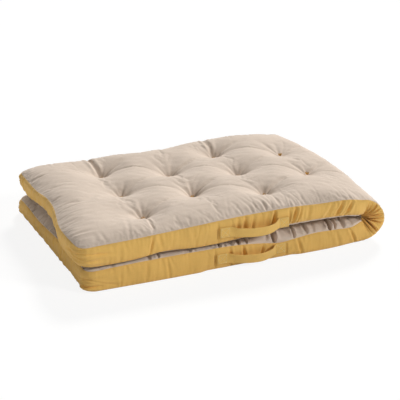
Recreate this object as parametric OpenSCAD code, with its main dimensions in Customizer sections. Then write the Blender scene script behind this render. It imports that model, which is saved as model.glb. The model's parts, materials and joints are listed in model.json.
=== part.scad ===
// Futon mattress, folded once. Two tufted halves lie on each other, and a chain of fold
// pieces joins them round the bend. The hinge lines run along the outer face of the bend,
// because the outer panel keeps its length while the mattress unrolls.
// X runs from the open end to the fold, Y from the handle side to the back, and Z is up.
// The origin is on the floor, under the middle of the folded mattress.

/* [Mattress] */
// Width between the front and back seams
mattress_w = 600; // [500:10:800]
// Length of each half from its open end to the start of the fold
half_l = 825; // [700:5:950]
// Height of the boxing band between its two seams
band_h = 56; // [50:1:80]
// Gap between the inner seams of the two halves when folded
seam_gap = 20; // [16:1:30]
// How far the band swells past its seams
band_bulge = 8; // [4:0.5:12]
// Thickness of the cover cloth
cloth_t = 2; // [1.5:0.1:3]

/* [Crown] */
// Height of the top panel over its seams, where nothing presses on it
top_crown = 22; // [16:1:30]
// Depth of the panel under its seams, where the floor presses it flat
floor_crown = 4; // [3:0.5:6]
// Width of the rounded edge along the seams
edge_w = 70; // [40:5:100]
// Length over which the top panel comes down to the fold
fold_taper = 90; // [60:5:120]
// How far the stuffing has drifted: the top lies lower near the open end, higher towards the fold
stuffing_drift = 5; // [0:1:8]

/* [Tufts] */
// Distance from the open end to the first column of tufts
first_column = 205; // [150:5:250]
// Distance between neighbouring rows of tufts
row_pitch = 87; // [70:1:110]
// Reach of the dimple round a tuft, where the panel is free
dimple_reach = 46; // [36:1:56]
// Depth of a tuft under the seams
tuft_sink = 6; // [4:0.5:8]
// Diameter of a tuft's head
tuft_d = 9; // [7:0.5:12]
// Height of a tuft's head
tuft_h = 3.5; // [2:0.5:5]
// Diameter of the thread that ties two tufts through the batting
tie_d = 2; // [1.5:0.5:3]

/* [Handles] */
// Length of a handle over its two sewn ends
handle_l = 206; // [170:1:240]
// Length of each sewn end
sewn_l = 30; // [24:1:34]
// Width of the strap
strap_w = 30; // [22:1:30]
// Thickness of the strap
strap_t = 2.5; // [2:0.1:3]
// How far the strap stands out from the band at its middle
handle_bow = 22; // [20:1:30]
// Angle below level at which the slack strap hangs
handle_droop = 17; // [5:1:20]

/* [Clearances] */
// Gap between the inner faces of the two halves
face_gap = 0.3; // [0.2:0.1:0.6]
// Gap between neighbouring bodies along the fold and the straps
body_gap = 0.3; // [0.2:0.1:0.5]

/* [Hidden] */
HALF_PIECES = ["outer_panel", "inner_panel", "front_band", "back_band", "end_band",
    "outer_batting", "core_batting", "inner_batting", "ties", "outer_tufts", "inner_tufts",
    "handle_ends", "handle_loop"];
FOLD_PIECES = ["outer_panel", "inner_panel", "front_band", "back_band", "batting"];
FOLDS = 5;

CLOTH = "#D3C6B8";
MUSTARD = "#D4AF5A";
BATTING = "#F2EEE4";
THREAD = "#C99A3C";

// Radii are measured from the crease line, where the inner faces of the halves meet.
inner_r = seam_gap / 2;
seam_r = inner_r + band_h;
fold_r = seam_r + floor_crown;
half_w = mattress_w / 2;
open_x = -(half_l + fold_r) / 2;
crease_x = open_x + half_l;
core_margin = 13;
core_inner_r = inner_r + core_margin;
core_outer_r = seam_r - core_margin;
band_mid_r = (inner_r + seam_r) / 2;
band_half = band_h / 2 - cloth_t;

// The bend is FOLDS whole sectors between two half sectors, which belong to the halves.
sector = 180 / (FOLDS + 1);
apex_s = half_l + fold_r * PI / 2;
TUFT_COLUMNS = 4;
column_pitch = (apex_s - first_column) / TUFT_COLUMNS;

// Crown and dimples: pressed against the floor, free on top, and face to face inside.
pressed_crown = 2 * floor_crown;
pressed_reach = 0.7 * dimple_reach;
inner_crown = 1.3 * inner_r;
inner_pull = 2 * inner_r;
crease_w = 60;
corner_w = 30;

// Stations of the panels: along a half, whose tufts each lie on one, and across the mattress
END_SHARES = [0.08, 0.3, 0.65];
SIDE_SHARES = [0.12, 0.5];
CELLS_A_COLUMN = 4;
CELLS_A_ROW = 2;
last_column_s = column_s(TUFT_COLUMNS - 1);
half_end_s = arc_s(sector / 2);
panel_along = concat([0, cloth_t], first_column * END_SHARES,
    [for (i = [0:CELLS_A_COLUMN * (TUFT_COLUMNS - 1)]) column_s(i / CELLS_A_COLUMN)],
    [(last_column_s + half_l) / 2, half_l, half_end_s]);
side_margin = half_w - 2 * row_pitch;
from_side = concat([0, cloth_t], side_margin * SIDE_SHARES,
    [for (i = [0:2 * CELLS_A_ROW - 1]) side_margin + i * row_pitch / CELLS_A_ROW]);
panel_across = concat([for (d = from_side) d - half_w], [0], [for (d = reversed(from_side)) half_w - d]);

// Stations of the bands: along a side, across the open end, and over their height
corner_steps = [0.4 * corner_w, corner_w];
side_along = concat([0, cloth_t], corner_steps, [half_l, half_end_s]);
from_corner = concat([cloth_t], [for (d = corner_steps) cloth_t + d]);
end_across = concat([for (d = from_corner) d - half_w], [for (d = reversed(from_corner)) half_w - d]);
BAND_SHARES = [-1, -0.82, -0.58, 0.58, 0.82, 1];
band_stations = [for (share = BAND_SHARES) band_mid_r + share * band_half];

function column_s(column) = first_column + column * column_pitch;
function column_rows(column) = column % 2 == 0 ? [-2, 0, 2] : [-1, 1];
function arc_s(angle) = half_l + fold_r * angle * PI / 180;
function mix(a, b, share) = a + (b - a) * share;
function reversed(list) = [for (i = [len(list) - 1:-1:0]) list[i]];
function without_ends(list) = [for (i = [1:len(list) - 2]) list[i]];

// Quarter ellipse: 0 at the seam, 1 from width w inwards
function rise(d, w) = d >= w ? 1 : d <= 0 ? 0 : sqrt(1 - pow(1 - d / w, 2));

// Share of a tuft's pull at a place: 1 on the tuft, fading over a reach
function pull(s, y, reach) = max([for (column = [0:TUFT_COLUMNS]) for (row = column_rows(column))
    exp(-pow(norm([min(s, 2 * apex_s - s) - column_s(column), y - row * row_pitch]) / reach, 1.5))]);

// How free the top panel is: 0 on the fold, 1 from fold_taper before it
function looseness(s) = rise(half_l - s, fold_taper);
function end_rise(s, y) = rise(s, edge_w) * rise(half_w - abs(y), edge_w);

// Radius of the outer face. free is 0 where it is pressed and 1 where it can swell.
function swell(s, y) = top_crown - stuffing_drift * (sin(360 * s / half_l) + 0.6 * y / half_w);
function crown(s, y, free) = mix(pressed_crown, swell(s, y), free);
function dimple(s, y, free) =
    (crown(s, y, free) + tuft_sink) * pull(s, y, mix(pressed_reach, dimple_reach, free));
function outer_r(s, y, free) = seam_r + min(mix(floor_crown, 2 * top_crown, free),
    end_rise(s, y) * (crown(s, y, free) - dimple(s, y, free)));

// Radius of the inner face, which lies on the other half's over most of its area
function face_r(s, y) = inner_r - min(inner_r - face_gap / 2,
    end_rise(s, y) * rise(half_l - s, crease_w) * (inner_crown - inner_pull * pull(s, y, pressed_reach)));

// Swell of the band at a radius, flat under the handle's sewn ends
function bulge(r) = band_bulge * min(1, 1.25 * sqrt(max(0, 1 - pow((r - band_mid_r) / band_half, 2))));
function side_y(s, r) = half_w + bulge(r) * rise(s, corner_w);
function end_x(y, r) = open_x - bulge(r) * rise(half_w - cloth_t - abs(y), corner_w);

// A point of a half at length s, width y and radius r. side is -1 below and 1 above the crease,
// and past half_l the point goes round the bend. step moves it along the face.
function spot(side, s, y, r, step = 0) = s <= half_l
    ? [open_x + s + step, y, fold_r + side * r]
    : let (a = (s - half_l) / fold_r * 180 / PI)
        [crease_x + r * sin(a) + step * cos(a), y, fold_r + side * (r * cos(a) - step * sin(a))];

// A closed sheet between two faces, each a function of a station along and a station across.
// flat_b closes a face_b that lies in one plane with a fan of triangles.
module sheet(along, across, face_a, face_b, flat_b = false) {
    rows = len(along);
    cols = len(across);
    count = rows * cols;
    side_points = function (face) [for (u = along) for (v = across) face(u, v)];
    at = function (i, j) i * cols + j;
    mid_u = floor(rows / 2) - 1;
    mid_v = floor(cols / 2) - 1;
    corner = face_a(along[mid_u], across[mid_v]);
    along_a = face_a(along[mid_u + 1], across[mid_v]) - corner;
    across_a = face_a(along[mid_u], across[mid_v + 1]) - corner;
    through = corner - face_b(along[mid_u], across[mid_v]);
    upright = cross(along_a, across_a) * through > 0;
    cells = [for (i = [0:rows - 2]) for (j = [0:cols - 2])
        each [[at(i, j), at(i, j + 1), at(i + 1, j + 1)], [at(i, j), at(i + 1, j + 1), at(i + 1, j)]]];
    rim = concat([for (j = [0:cols - 1]) at(0, j)], [for (i = [1:rows - 1]) at(i, cols - 1)],
        [for (j = [cols - 2:-1:0]) at(rows - 1, j)], [for (i = [rows - 2:-1:1]) at(i, 0)]);
    walls = [for (k = [0:len(rim) - 1]) let (a = rim[k], b = rim[(k + 1) % len(rim)])
        each [[b, a, a + count], [b, a + count, b + count]]];
    hub = at(mid_u, mid_v);
    fan = [for (k = [0:len(rim) - 1]) [hub, rim[k], rim[(k + 1) % len(rim)]]];
    back = [for (f = flat_b ? fan : cells) [for (i = reversed(f)) i + count]];
    faces = concat(cells, back, walls);
    polyhedron(concat(side_points(face_a), side_points(face_b)),
        upright ? faces : [for (f = faces) reversed(f)]);
}

// Cuts the stations of a body short of its hinge line, so that neighbours stay body_gap apart
function gap_step(s, first, last) = s == first ? body_gap / 2 : s == last ? -body_gap / 2 : 0;

// ---- The two halves ----

function half_free(side, s) = side > 0 ? looseness(s) : 0;
function half_spot(side, s, y, r) = spot(side, s, y, r, gap_step(s, -1, half_end_s));

module outer_panel(side) {
    outside = function (s, y) half_spot(side, s, y, outer_r(s, y, half_free(side, s)));
    inside = function (s, y) half_spot(side, s, y, outer_r(s, y, half_free(side, s)) - cloth_t);
    color(CLOTH) sheet(panel_along, panel_across, outside, inside);
}

module inner_panel(side) {
    outside = function (s, y) half_spot(side, s, y, face_r(s, y));
    inside = function (s, y) half_spot(side, s, y, face_r(s, y) + cloth_t);
    color(CLOTH) sheet(panel_along, panel_across, outside, inside);
}

module side_band(side, way) {
    outside = function (s, r) half_spot(side, s, way * side_y(s, r), r);
    inside = function (s, r) half_spot(side, s, way * (side_y(s, r) - cloth_t), r);
    color(MUSTARD) sheet(side_along, band_stations, outside, inside);
}

module end_band(side) {
    outside = function (y, r) [end_x(y, r), y, fold_r + side * r];
    inside = function (y, r) [end_x(y, r) + cloth_t, y, fold_r + side * r];
    color(MUSTARD) sheet(end_across, band_stations, outside, inside);
}

// Loose batting between the core and a panel, from under the panel down to a flat face
module loft(side, panel_face, core_face) {
    under_panel = function (s, y) spot(side, s, y, panel_face(s, y));
    on_core = function (s, y) spot(side, s, y, core_face);
    color(BATTING)
        sheet(without_ends(panel_along), without_ends(panel_across), under_panel, on_core, flat_b = true);
}

module outer_batting(side) {
    loft(side, function (s, y) outer_r(s, y, half_free(side, s)) - cloth_t, core_outer_r);
}

module inner_batting(side) {
    loft(side, function (s, y) face_r(s, y) + cloth_t, core_inner_r);
}

// The firm middle: a slab that fills the band's swell, and the wedge at the start of the bend
module core_batting(side) {
    in_wedge = half_l + cloth_t / 2;
    side_edge = [for (s = concat(corner_steps, [in_wedge])) [open_x + s, side_y(s, band_mid_r) - cloth_t]];
    end_edge = [for (y = without_ends(end_across)) [end_x(y, band_mid_r) + cloth_t, y]];
    outline = concat([for (p = side_edge) [p[0], -p[1]]], reversed(side_edge), reversed(end_edge));
    base = fold_r + (side > 0 ? core_inner_r : -core_outer_r);
    under_panel = function (s, y) half_spot(side, s, y, outer_r(s, y, 0) - cloth_t);
    on_inner = function (s, y) half_spot(side, s, y, inner_r + cloth_t);
    color(BATTING) {
        translate([0, 0, base])
            linear_extrude(core_outer_r - core_inner_r) polygon(outline);
        sheet([half_l, half_end_s], without_ends(panel_across), under_panel, on_inner);
    }
}

// ---- Tufts ----

// A tuft is a flat knot of thread on a short shank, and the shank stands in the dimple's point.
tuft_seat = 0.8;
shank_d = 3;
shank_h = 2.6;

module tuft() {
    cylinder(d = shank_d, h = shank_h, $fn = 8);
    translate([0, 0, shank_h])
        cylinder(d = tuft_d, h = tuft_h, $fn = 10);
}

module each_tuft(columns) {
    for (column = columns) {
        for (row = column_rows(column)) {
            $s = column_s(column);
            $y = row * row_pitch;
            children();
        }
    }
}

module outer_tufts(side) {
    color(THREAD) each_tuft([0:TUFT_COLUMNS - 1])
        translate(spot(side, $s, $y, outer_r($s, $y, half_free(side, $s)) + tuft_seat))
            mirror([0, 0, side > 0 ? 0 : 1]) tuft();
}

module inner_tufts(side) {
    color(THREAD) each_tuft([0:TUFT_COLUMNS - 1])
        translate(spot(side, $s, $y, face_r($s, $y) - tuft_seat))
            mirror([0, 0, side > 0 ? 1 : 0]) tuft();
}

module ties(side) {
    color(THREAD) each_tuft([0:TUFT_COLUMNS - 1]) {
        bottom = face_r($s, $y) + cloth_t;
        top = outer_r($s, $y, half_free(side, $s)) - cloth_t;
        translate(spot(side, $s, $y, side > 0 ? bottom : top))
            cylinder(d = tie_d, h = top - bottom, $fn = 8);
    }
}

// ---- Handles ----

handle_x = open_x + apex_s / 2;
handle_y = -(half_w + band_bulge);
grip_half = handle_l / 2 - sewn_l;
LOOP_SHARE = 0.78;
loop_half = grip_half * LOOP_SHARE;
LOOP_CELLS = 10;

// Stand-off of the strap's middle from the band, and its tilt, at a distance from the middle
function strap_out(x) = strap_t / 2 + handle_bow * (1 - pow(min(1, abs(x) / grip_half), 2.5));
function strap_tilt(x) = handle_droop * min(1, (1 - min(1, abs(x) / grip_half)) / (1 - LOOP_SHARE));

// A point of the strap: across runs over its width and out over its thickness
function strap_point(side, x, across, out) =
    let (tilt = strap_tilt(x), reach = strap_out(x) + out)
        [handle_x + x,
        handle_y - reach * cos(tilt) - across * sin(tilt),
        fold_r + side * band_mid_r - reach * sin(tilt) + across * cos(tilt)];

module strap(side, stations) {
    outside = function (x, across) strap_point(side, x, across, strap_t / 2);
    inside = function (x, across) strap_point(side, x, across, -strap_t / 2);
    color(MUSTARD) sheet(stations, [-strap_w / 2, strap_w / 2], outside, inside);
}

module handle_ends(side) {
    cut = loop_half + body_gap;
    for (way = [-1, 1])
        strap(side, [for (x = [cut, mix(cut, grip_half, 0.5), grip_half, handle_l / 2]) way * x]);
}

module handle_loop(side) {
    strap(side, [for (i = [-LOOP_CELLS:LOOP_CELLS]) i / LOOP_CELLS * loop_half]);
}

// ---- The fold ----

FOLD_CELLS = 2;

function fold_start(k) = arc_s((k - 0.5) * sector);
function fold_along(k) = [for (i = [0:FOLD_CELLS]) mix(fold_start(k), fold_start(k + 1), i / FOLD_CELLS)];
function fold_spot(k, s, y, r) = spot(-1, s, y, r, gap_step(s, fold_start(k), fold_start(k + 1)));

module fold_outer_panel(k) {
    outside = function (s, y) fold_spot(k, s, y, outer_r(s, y, 0));
    inside = function (s, y) fold_spot(k, s, y, outer_r(s, y, 0) - cloth_t);
    color(CLOTH) sheet(fold_along(k), panel_across, outside, inside);
}

module fold_inner_panel(k) {
    outside = function (s, y) fold_spot(k, s, y, inner_r);
    inside = function (s, y) fold_spot(k, s, y, inner_r + cloth_t);
    color(CLOTH) sheet(fold_along(k), [-half_w, half_w], outside, inside);
}

module fold_band(k, way) {
    outside = function (s, r) fold_spot(k, s, way * side_y(s, r), r);
    inside = function (s, r) fold_spot(k, s, way * (side_y(s, r) - cloth_t), r);
    color(MUSTARD) sheet(fold_along(k), band_stations, outside, inside);
}

module fold_batting(k) {
    under_panel = function (s, y) fold_spot(k, s, y, outer_r(s, y, 0) - cloth_t);
    on_inner = function (s, y) fold_spot(k, s, y, inner_r + cloth_t);
    color(BATTING) sheet(fold_along(k), without_ends(panel_across), under_panel, on_inner);
}

// Places its children on the apex of the bend, standing out along +X
module at_apex(r) {
    for (row = column_rows(TUFT_COLUMNS))
        translate(spot(-1, apex_s, row * row_pitch, r))
            rotate([0, 90, 0]) children();
}

module fold_outer_tufts() {
    color(THREAD) at_apex(outer_r(apex_s, 0, 0) + tuft_seat) tuft();
}

module fold_inner_tufts() {
    color(THREAD) at_apex(inner_r - tuft_seat) mirror([0, 0, 1]) tuft();
}

module fold_ties() {
    bottom = inner_r + cloth_t;
    top = outer_r(apex_s, 0, 0) - cloth_t;
    color(THREAD) at_apex(bottom) cylinder(d = tie_d, h = top - bottom, $fn = 8);
}

// ---- Nodes ----

for (half = [["lower", -1], ["upper", 1]]) {
    name = half[0];
    side = half[1];
    outer_panel(side);
    inner_panel(side);
    side_band(side, -1);
    side_band(side, 1);
    end_band(side);
    outer_batting(side);
    core_batting(side);
    inner_batting(side);
    ties(side);
    outer_tufts(side);
    inner_tufts(side);
    handle_ends(side);
    handle_loop(side);
}

for (k = [1:FOLDS]) {
    fold_outer_panel(k);
    fold_inner_panel(k);
    fold_band(k, -1);
    fold_band(k, 1);
    fold_batting(k);
}

fold_ties();
fold_outer_tufts();
fold_inner_tufts();
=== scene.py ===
"""Futon mattress, folded once: sewn cotton cover, gathered boxing bands, thread tufts and webbing handles."""

import json
import math

import bpy
import numpy as np
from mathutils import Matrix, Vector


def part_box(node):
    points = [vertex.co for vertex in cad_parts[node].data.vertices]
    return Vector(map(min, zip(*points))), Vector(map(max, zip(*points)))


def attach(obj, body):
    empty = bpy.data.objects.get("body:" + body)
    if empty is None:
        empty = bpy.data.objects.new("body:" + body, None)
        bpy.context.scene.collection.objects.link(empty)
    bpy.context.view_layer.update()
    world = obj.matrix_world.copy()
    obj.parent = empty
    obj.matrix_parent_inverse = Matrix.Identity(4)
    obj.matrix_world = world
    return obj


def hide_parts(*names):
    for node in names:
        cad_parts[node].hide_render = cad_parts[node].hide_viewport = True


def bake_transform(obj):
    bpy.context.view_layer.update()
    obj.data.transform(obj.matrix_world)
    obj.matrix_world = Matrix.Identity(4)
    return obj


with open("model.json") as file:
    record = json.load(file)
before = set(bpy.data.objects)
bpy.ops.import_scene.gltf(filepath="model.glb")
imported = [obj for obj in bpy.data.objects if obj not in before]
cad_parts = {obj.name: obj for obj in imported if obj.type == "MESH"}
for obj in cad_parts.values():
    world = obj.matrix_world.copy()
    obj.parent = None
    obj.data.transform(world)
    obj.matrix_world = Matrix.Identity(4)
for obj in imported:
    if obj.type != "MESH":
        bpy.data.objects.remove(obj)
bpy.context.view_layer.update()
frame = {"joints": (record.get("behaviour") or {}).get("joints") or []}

bl_info = {
    "name": "Tufted Futon Mattress",
    "version": (1, 0, 0),
    "blender": (4, 5, 0),
    "location": "3D View > Sidebar > Futon",
    "description": "Dresses the folding mattress with a tufted cotton cover, boxing bands and webbing handles",
    "category": "Object",
}

MM = 0.001

# ---- Places, worked out from the frame ----

HINGES = [j["pos_m"] for j in frame["joints"] if j["name"].startswith("fold_hinge")]
FOLD_R = (HINGES[2][2] + HINGES[3][2]) / 2
STRIP = math.pi / len(HINGES)
CREASE_X = HINGES[0][0] - FOLD_R * math.sin(STRIP / 2)
OPEN_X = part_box("lower_outer_panel")[0].x
HALF_L = CREASE_X - OPEN_X
HALF_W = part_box("lower_outer_panel")[1].y
BEND_L = math.pi * FOLD_R
COVER_L = 2 * HALF_L + BEND_L
BAND_H = 56 * MM
STRAP_X = sum(corner.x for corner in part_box("lower_handle_loop")) / 2
STRAP_LENGTH, STRAP_GRIP, UPPER_STRAP_SHIFT = 206 * MM, 73 * MM, 8 * MM
LIFTS = [j["pos_m"] for j in frame["joints"] if j["name"].endswith("handle_lift")]
BAND_Y = LIFTS[0][1]

# Tufts: even columns have three and odd ones two, and the last column lies on the apex of the bend.
FIRST_COLUMN = 205 * MM
ROW_PITCH = 87 * MM
APEX = HALF_L + BEND_L / 2
COLUMN_PITCH = (APEX - FIRST_COLUMN) / 4
TUFTS = [(FIRST_COLUMN + c * COLUMN_PITCH, row * ROW_PITCH)
         for c in range(5) for row in ((-2, 0, 2) if c % 2 == 0 else (-1, 1))]
TUFTS += [(COVER_L - s, y) for s, y in TUFTS if s < APEX - MM]
TUFT_CENTRES = np.array(TUFTS)


# ---- Settings ----


class FutonSizes(bpy.types.PropertyGroup):
    """Sizes of the cover's relief."""

    crown: bpy.props.FloatProperty(
        name="Crown", description="Height of the top panel's pillows over its seams", default=19 * MM,
        unit="LENGTH")
    dimple: bpy.props.FloatProperty(
        name="Dimple", description="Depth of a tuft under the pillows of the top panel", default=34 * MM,
        unit="LENGTH")
    swell: bpy.props.FloatProperty(
        name="Swell", description="How far a boxing band swells past its seams", default=8 * MM, unit="LENGTH")
    gather: bpy.props.FloatProperty(
        name="Gather", description="Depth of the folds where cloth is gathered into a seam", default=1.3 * MM,
        unit="LENGTH")
    slack: bpy.props.FloatProperty(
        name="Slack", description="Share by which the top panel's cloth is longer than the pad under it",
        default=0.007, subtype="FACTOR")
    pressure: bpy.props.FloatProperty(
        name="Pressure", description="Push of the batting under the top panel", default=4.0)
    strap_width: bpy.props.FloatProperty(
        name="Strap width", description="Width of the handle webbing", default=30 * MM, unit="LENGTH")
    strap_bow: bpy.props.FloatProperty(
        name="Strap bow", description="How far a handle stands out from the band", default=20 * MM,
        unit="LENGTH")


def linear(code):
    """sRGB hex colour as linear light: (c + 0.055) / 1.055 to the power 2.4, or c / 12.92 for dark values."""
    parts = [int(code[i : i + 2], 16) / 255 for i in (0, 2, 4)]
    return tuple(c / 12.92 if c <= 0.04045 else ((c + 0.055) / 1.055) ** 2.4 for c in parts)


class FutonColours(bpy.types.PropertyGroup):
    """Colours of the cloths and threads."""

    panel: bpy.props.FloatVectorProperty(
        name="Panel", description="Undyed cotton of the tufted panels", default=linear("DCCBBB"), size=3,
        subtype="COLOR")
    band: bpy.props.FloatVectorProperty(
        name="Band", description="Mustard cotton of the boxing bands", default=linear("ECBF6A"), size=3,
        subtype="COLOR")
    strap: bpy.props.FloatVectorProperty(
        name="Strap", description="Mustard webbing of the handles", default=linear("EFC56F"), size=3,
        subtype="COLOR")
    tuft: bpy.props.FloatVectorProperty(
        name="Tuft", description="Thread of the tufts", default=linear("CC9B40"), size=3, subtype="COLOR")
    stitch: bpy.props.FloatVectorProperty(
        name="Stitch", description="Thread of the box stitches", default=linear("F0D9A0"), size=3,
        subtype="COLOR")


# ---- Fields: smooth curves, random relief and folds as whole arrays ----


def through(places, values, at):
    """A cubic through the values at the places, with each slope taken from its two neighbours."""
    x, v = np.asarray(places, float), np.asarray(values, float)
    slope = np.gradient(v, x)
    at = np.clip(at, x[0], x[-1])
    k = np.clip(np.searchsorted(x, at) - 1, 0, len(x) - 2)
    w = x[k + 1] - x[k]
    u = (at - x[k]) / w
    start = (2 * u**3 - 3 * u**2 + 1) * v[k] + (u**3 - 2 * u**2 + u) * w * slope[k]
    return start + (3 * u**2 - 2 * u**3) * v[k + 1] + (u**3 - u**2) * w * slope[k + 1]


def ease(x, low, high):
    """0 below low, 1 above high, and 3u^2 - 2u^3 between them."""
    u = np.clip((x - low) / (high - low), 0, 1)
    return u * u * (3 - 2 * u)


def rise(d, w):
    """Quarter ellipse over the distance d: 0 at a seam, 1 from w inwards."""
    return np.sqrt(np.clip(1 - (1 - np.clip(d / w, 0, 1)) ** 2, 0, 1))


def bell(d, power=2):
    """e to the power -|d|^power: 1 at 0, and near 0 from 2 on."""
    return np.exp(-np.abs(d) ** power)


def crumple(p, q, length_p, length_q, seed, waves=16):
    """Random relief of about unit height: plane waves in all directions, with lengths round the two given."""
    rng = np.random.default_rng(seed)
    total = 0
    for turn, size, start in zip(
        rng.uniform(0, math.tau, waves), rng.uniform(0.65, 1.5, waves), rng.uniform(0, math.tau, waves)
    ):
        total += np.sin(
            math.tau * size * (math.cos(turn) * p / length_p + math.sin(turn) * q / length_q) + start)
    return total / math.sqrt(waves)


def pleats(along, pitch, seed):
    """Random folds across a seam, by the place along it: waves of one direction, sharpened into ridges."""
    rng = np.random.default_rng(seed)
    total = 0
    for size, start in zip(rng.uniform(0.6, 1.6, 14), rng.uniform(0, math.tau, 14)):
        total += np.sin(math.tau * size * along / pitch + start)
    total = total / math.sqrt(7)
    return np.sign(total) * np.abs(total) ** 0.8


def crinkle(p, q, length_p, length_q, seed, width=0.16):
    """Thin creases: a narrow valley, 1 deep, along each line where a random relief passes through zero."""
    return -bell(crumple(p, q, length_p, length_q, seed) / width)


def fold(x, at, width):
    """One fold of cloth: a narrow groove at a place, with a lower ridge on each side of it."""
    d = (x - at) / width
    return 0.45 * bell((np.abs(d) - 1.5) / 0.9) - bell(d)


def tucks(along, inward, span, count, seed, width, length, depth):
    """Sparse folds that start on a seam and run inwards, each at its own slant, spreading as they fade.

    Each is the fold above, times its depth and the bell e^-(inward / length)^2. Sizes are ranges in mm.
    """
    rng = np.random.default_rng(seed)
    total = 0
    for at, slant, w, far, deep in zip(
        rng.uniform(*span, count), rng.normal(0, 0.22, count), rng.uniform(*width, count) * MM,
        rng.uniform(*length, count) * MM, depth * MM * rng.uniform(0.3, 1, count) ** 1.5
    ):
        total += deep * fold(along - slant * inward, at, w * (1 + 0.6 * inward / far)) * bell(inward / far)
    return total


def nearest_tuft(t, y):
    """Distance to the nearest tuft, the direction to it, its number, and how much farther the next tuft is."""
    dt = t[..., None] - TUFT_CENTRES[:, 0]
    dy = y[..., None] - TUFT_CENTRES[:, 1]
    distance = np.hypot(dt, dy)
    number = distance.argmin(-1)
    pick = number[..., None]
    return (
        np.take_along_axis(distance, pick, -1)[..., 0],
        np.arctan2(np.take_along_axis(dy, pick, -1)[..., 0], np.take_along_axis(dt, pick, -1)[..., 0]),
        number,
        np.diff(np.partition(distance, 1, -1)[..., :2], axis=-1)[..., 0],
    )


# Folds that run out of a tuft: direction in plan in degrees, reach in mm, and depth as a share. The longest lie
# along the diagonals to the next tufts, and most others behind, where the cloth is pulled over fuller pillows.
ARMS = np.array([
    (26, 46, 1.1), (112, 30, 0.9), (54, 24, 0.45), (70, 22, 0.5), (82, 20, 0.5), (95, 22, 0.5),
    (200, 24, 0.2), (338, 24, 0.2), (270, 30, 0.3)])
ARM_RNG = np.random.default_rng(5)
ARM_TURN = np.radians(ARMS[:, 0] + ARM_RNG.uniform(-9, 9, (len(TUFTS), len(ARMS))))
ARM_REACH = ARMS[:, 1] * ARM_RNG.uniform(0.75, 1.3, ARM_TURN.shape) * MM
ARM_DEPTH = ARMS[:, 2] * ARM_RNG.uniform(0.5, 1.25, ARM_TURN.shape)


def tuft_folds(t, y):
    """Folds that run out from the tufts: narrow grooves that widen and fade with distance, d e^(1 - d)."""
    distance, turn, number, margin = nearest_tuft(t, y)
    # On the upper half the stations run back towards the open end.
    turn = np.where(t > APEX, math.pi - turn, turn)
    away = turn[..., None] - ARM_TURN[number]
    aside = distance[..., None] * np.sin(away) / (1.4 * MM + 0.10 * distance[..., None])
    ahead = ease(np.cos(away), 0.0, 0.5)
    d = distance[..., None] / ARM_REACH[number]
    groove = bell(aside) - 0.35 * bell((np.abs(aside) - 2.2) / 1.2)
    return -(groove * ahead * ARM_DEPTH[number] * d * np.exp(1 - d)).sum(-1) * ease(margin, 0, 40 * MM)


def valleys(t, y):
    """Diamond valleys between neighbouring tufts: the nearest line's depth, 1 at a tuft and less midway."""
    deepest = np.zeros(np.broadcast(t, y).shape)
    # The outer rows also pull a valley to the nearest seam.
    for s, across in TUFT_CENTRES[np.abs(TUFT_CENTRES[:, 1]) > 1.5 * ROW_PITCH]:
        away = (y - across) * np.sign(across)
        depth = 0.75 * ease(away, 0, 20 * MM) * ease(from_side(y), 0, 30 * MM) * (1 - 0.5 * away / (HALF_W / 2))
        deepest = np.maximum(deepest, depth * bell((t - s) / (9 * MM + 0.12 * np.abs(away)), 1.4))
    for i, a in enumerate(TUFT_CENTRES):
        for b in TUFT_CENTRES[i + 1 :]:
            step = b - a
            if not (0.5 * COLUMN_PITCH < abs(step[0]) < 1.2 * COLUMN_PITCH and abs(step[1]) < 1.2 * ROW_PITCH):
                continue
            length = np.hypot(*step)
            along = ((t - a[0]) * step[0] + (y - a[1]) * step[1]) / length**2
            # Seen from above, the lines that run back towards the open end curve round a fuller pillow.
            leftwards = (step[0] * step[1] < 0) == (a[0] < APEX - MM)
            arch = np.sin(math.pi * np.clip(along, 0, 1))
            bow = (15 if leftwards else 4) * MM * arch
            cross = (t - a[0]) * step[1] - (y - a[1]) * step[0]
            aside = np.abs(cross / length - bow * (1 if (a[0] + b[0]) / 2 < APEX else -1) * np.sign(step[1]))
            inside = ease(along, -0.06, 0.05) * ease(1 - along, -0.06, 0.05)
            depth = (1 - 0.72 * arch) * inside
            deepest = np.maximum(deepest, depth * bell(aside / (11 * MM), 1.3))
    return deepest


def pinches(t, y):
    """Deep folds of the top from its outer tufts to the nearest seam, behind the tufts deeper than in front."""
    total = 0
    for s, side, depth, width, lean in (
        (205, 1, 5.5, 6, 0.05), (570, 1, 4.5, 6, -0.1), (935, 1, 3, 8, 0),
        (205, -1, 3, 3, 0.12), (570, -1, 2, 3, 0.1),
    ):
        away = side * y - 2 * ROW_PITCH
        reach = ease(away, -4 * MM, 30 * MM) * ease(HALF_W - side * y, 1 * MM, 20 * MM)
        total -= depth * MM * fold(t - lean * away, upper_at(s), width * MM * (1 + 5 * np.abs(away))) * reach
    return total


# ---- The seams, as radii from the crease line and places across the mattress ----


def bend_at(degrees):
    """Station on the cover at an angle round the bend."""
    return HALF_L + FOLD_R * math.radians(degrees)


def upper_at(mm):
    """Station on the upper half at a distance from its open end."""
    return COVER_L - mm * MM


def stations(lower, bend, upper):
    """Stations on the lower half in mm, round the bend in degrees, and on the upper half in mm from its open end."""
    return [mm * MM for mm in lower] + [bend_at(degrees) for degrees in bend] + [upper_at(mm) for mm in upper]


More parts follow.
